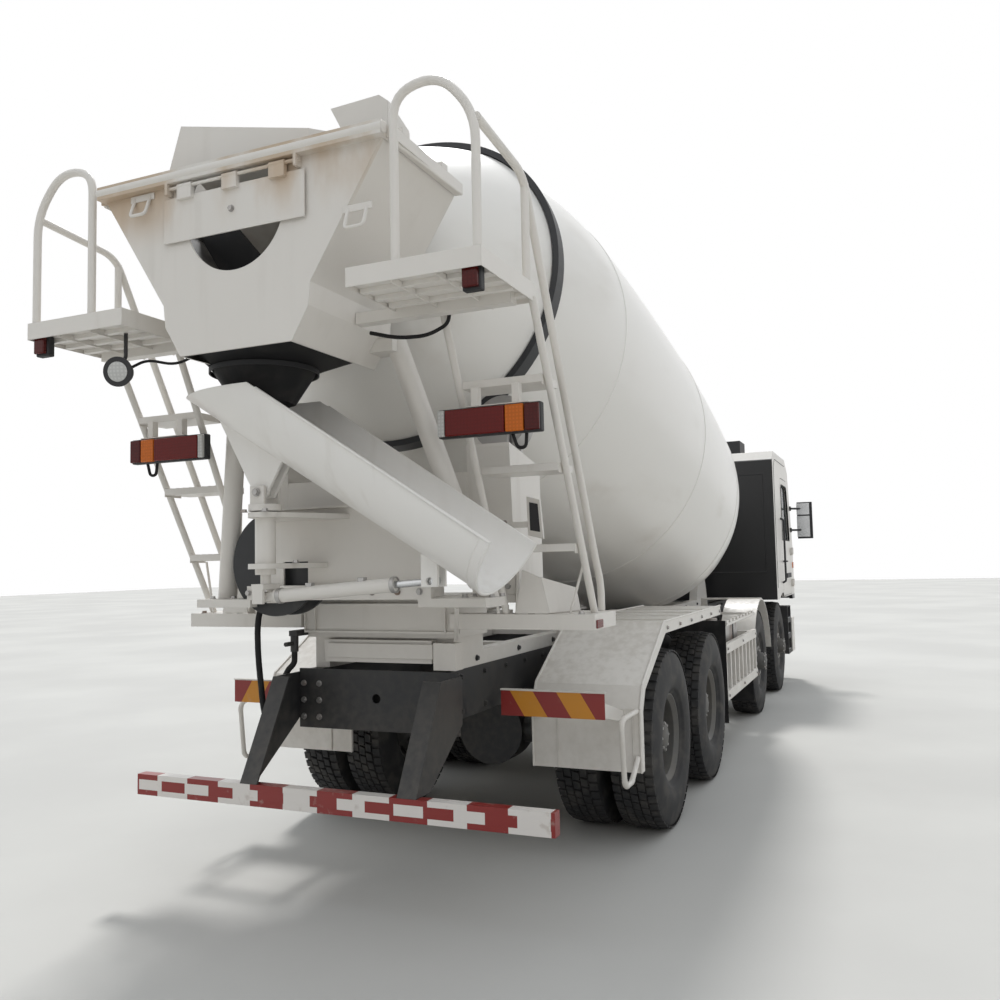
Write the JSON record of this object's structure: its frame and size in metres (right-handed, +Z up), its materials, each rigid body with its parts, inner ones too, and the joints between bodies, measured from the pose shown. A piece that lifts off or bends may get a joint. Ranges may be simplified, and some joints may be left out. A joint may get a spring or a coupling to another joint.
{
  "type": "concrete mixer truck",
  "caption": "Four-axle truck with a tilting cab and a sloping concrete mixer drum, a feed hopper, a swinging discharge chute, ladders and platforms.",
  "frame": {"origin": "on the ground under the middle of the truck's length and width", "axes": "+X forward, +Y to the truck's left, +Z up"},
  "size_m": [10.545, 3.02, 4.2279],
  "materials": {
    "white_paint": "gloss, dusty",
    "black_paint": "satin, dusty",
    "grey_paint": "satin",
    "steel": "worn",
    "board": "reflective",
    "lamp": "gloss",
    "rubber": "matt",
    "tyre": "matt",
    "glass": "clear",
    "trim": "grained",
    "seat": "woven"
  },
  "bodies": {
    "chassis": {"chassis_frame": "black_paint", "underrun_bar": "board", "underrun_legs": "black_paint", "axles": "black_paint", "drive_shafts": "black_paint", "engine": "grey_paint", "bumper": "white_paint", "cab_steps": "trim", "mid_fenders": "white_paint", "rear_fenders": "white_paint", "chevron_boards": "board", "side_guards": "white_paint", "fuel_tank": "steel", "battery_box": "black_paint", "subframe": "white_paint", "rear_pedestal": "white_paint", "drum_rollers": "steel", "drum_drive": "grey_paint", "discharge_hood": "white_paint", "feed_hopper": "white_paint", "collector": "rubber", "platforms": "white_paint", "guard_rails": "white_paint", "ladders": "white_paint", "rear_lamps": "lamp", "hose_reel": "black_paint", "water_hose": "rubber"},
    "flap": {"hopper_flap": "white_paint"},
    "drum": {"drum_shell": "white_paint", "drum_blades": "steel", "drum_ring": "steel"},
    "swivel": {"chute_swivel": "white_paint"},
    "chute": {"chute": "white_paint"},
    "cylinder": {"chute_cylinder": "black_paint"},
    "rod": {"chute_rod": "steel"},
    "cab": {"cab_shell": "white_paint", "cab_glass": "glass", "cab_interior": "seat", "cab_trim": "trim"},
    "left_door": {"door_left": "white_paint"},
    "right_door": {"door_right": "white_paint"},
    "wheel_1_left": {"wheel_1_left": "tyre"},
    "wheel_1_right": {"wheel_1_right": "tyre"},
    "wheel_2_left": {"wheel_2_left": "tyre"},
    "wheel_2_right": {"wheel_2_right": "tyre"},
    "twin_wheel_3_left": {"twin_wheel_3_left": "tyre"},
    "twin_wheel_3_right": {"twin_wheel_3_right": "tyre"},
    "twin_wheel_4_left": {"twin_wheel_4_left": "tyre"},
    "twin_wheel_4_right": {"twin_wheel_4_right": "tyre"},
    "knuckle_1_left": {"knuckle_1_left": "black_paint"},
    "knuckle_1_right": {"knuckle_1_right": "black_paint"},
    "knuckle_2_left": {"knuckle_2_left": "black_paint"},
    "knuckle_2_right": {"knuckle_2_right": "black_paint"}
  },
  "joints": [
    {"name": "drum_spin", "type": "hinge", "parent": "chassis", "child": "drum", "pos_m": [-3.7175, 0, 3.27], "axis": [0.9781, 0, -0.2079], "continuous": true},
    {"name": "flap_hinge", "type": "hinge", "parent": "chassis", "child": "flap", "pos_m": [-5.2495, 0, 3.38], "axis": [0, 1, 0], "range_deg": [0, 100]},
    {"name": "chute_swing", "type": "hinge", "parent": "chassis", "child": "swivel", "pos_m": [-4.8275, 0.15, 1.6], "axis": [0, 0, -1], "range_deg": [0, 150]},
    {"name": "chute_tilt", "type": "hinge", "parent": "swivel", "child": "chute", "pos_m": [-4.8275, 0.15, 2.03], "axis": [1, 0, 0], "range_deg": [-15, 12]},
    {"name": "cylinder_pivot", "type": "hinge", "parent": "swivel", "child": "cylinder", "pos_m": [-4.8275, 0.15, 1.54], "axis": [1, 0, 0], "range_deg": [-17, 14]},
    {"name": "rod_slide", "type": "slide", "parent": "cylinder", "child": "rod", "axis": [0, -0.9973, 0.0728], "range_m": [-0.11, 0.135]},
    {"name": "cab_tilt", "type": "hinge", "parent": "chassis", "child": "cab", "pos_m": [5.0325, 0, 0.96], "axis": [0, 1, 0], "range_deg": [0, 50]},
    {"name": "left_door_hinge", "type": "hinge", "parent": "cab", "child": "left_door", "pos_m": [4.8565, 1.244, 1.545], "axis": [0, 0, -1], "range_deg": [0, 70]},
    {"name": "right_door_hinge", "type": "hinge", "parent": "cab", "child": "right_door", "pos_m": [4.8565, -1.244, 1.545], "axis": [0, 0, 1], "range_deg": [0, 70]},
    {"name": "steer_1_left", "type": "hinge", "parent": "chassis", "child": "knuckle_1_left", "pos_m": [3.7725, 0.86, 0.555], "axis": [0, 0, 1], "range_deg": [-35, 35]},
    {"name": "wheel_1_left_spin", "type": "hinge", "parent": "knuckle_1_left", "child": "wheel_1_left", "pos_m": [3.7725, 1.02, 0.555], "axis": [0, 1, 0], "continuous": true},
    {"name": "steer_1_right", "type": "hinge", "parent": "chassis", "child": "knuckle_1_right", "pos_m": [3.7725, -0.86, 0.555], "axis": [0, 0, 1], "range_deg": [-35, 35]},
    {"name": "wheel_1_right_spin", "type": "hinge", "parent": "knuckle_1_right", "child": "wheel_1_right", "pos_m": [3.7725, -1.02, 0.555], "axis": [0, 1, 0], "continuous": true},
    {"name": "steer_2_left", "type": "hinge", "parent": "chassis", "child": "knuckle_2_left", "pos_m": [1.9725, 0.86, 0.555], "axis": [0, 0, 1], "range_deg": [-26, 26]},
    {"name": "wheel_2_left_spin", "type": "hinge", "parent": "knuckle_2_left", "child": "wheel_2_left", "pos_m": [1.9725, 1.02, 0.555], "axis": [0, 1, 0], "continuous": true},
    {"name": "steer_2_right", "type": "hinge", "parent": "chassis", "child": "knuckle_2_right", "pos_m": [1.9725, -0.86, 0.555], "axis": [0, 0, 1], "range_deg": [-26, 26]},
    {"name": "wheel_2_right_spin", "type": "hinge", "parent": "knuckle_2_right", "child": "wheel_2_right", "pos_m": [1.9725, -1.02, 0.555], "axis": [0, 1, 0], "continuous": true},
    {"name": "twin_wheel_3_left_spin", "type": "hinge", "parent": "chassis", "child": "twin_wheel_3_left", "pos_m": [-1.1775, 0.916, 0.555], "axis": [0, 1, 0], "continuous": true},
    {"name": "twin_wheel_3_right_spin", "type": "hinge", "parent": "chassis", "child": "twin_wheel_3_right", "pos_m": [-1.1775, -0.916, 0.555], "axis": [0, 1, 0], "continuous": true},
    {"name": "twin_wheel_4_left_spin", "type": "hinge", "parent": "chassis", "child": "twin_wheel_4_left", "pos_m": [-2.5275, 0.916, 0.555], "axis": [0, 1, 0], "continuous": true},
    {"name": "twin_wheel_4_right_spin", "type": "hinge", "parent": "chassis", "child": "twin_wheel_4_right", "pos_m": [-2.5275, -0.916, 0.555], "axis": [0, 1, 0], "continuous": true}
  ],
  "couplings": [
    {"joint": "cylinder_pivot", "follows": "chute_tilt", "ratio": 0.96},
    {"joint": "rod_slide", "follows": "chute_tilt", "m_per_rad": -0.4887},
    {"joint": "steer_1_right", "follows": "steer_1_left", "ratio": 1},
    {"joint": "steer_2_left", "follows": "steer_1_left", "ratio": 0.72},
    {"joint": "steer_2_right", "follows": "steer_1_left", "ratio": 0.72}
  ]
}
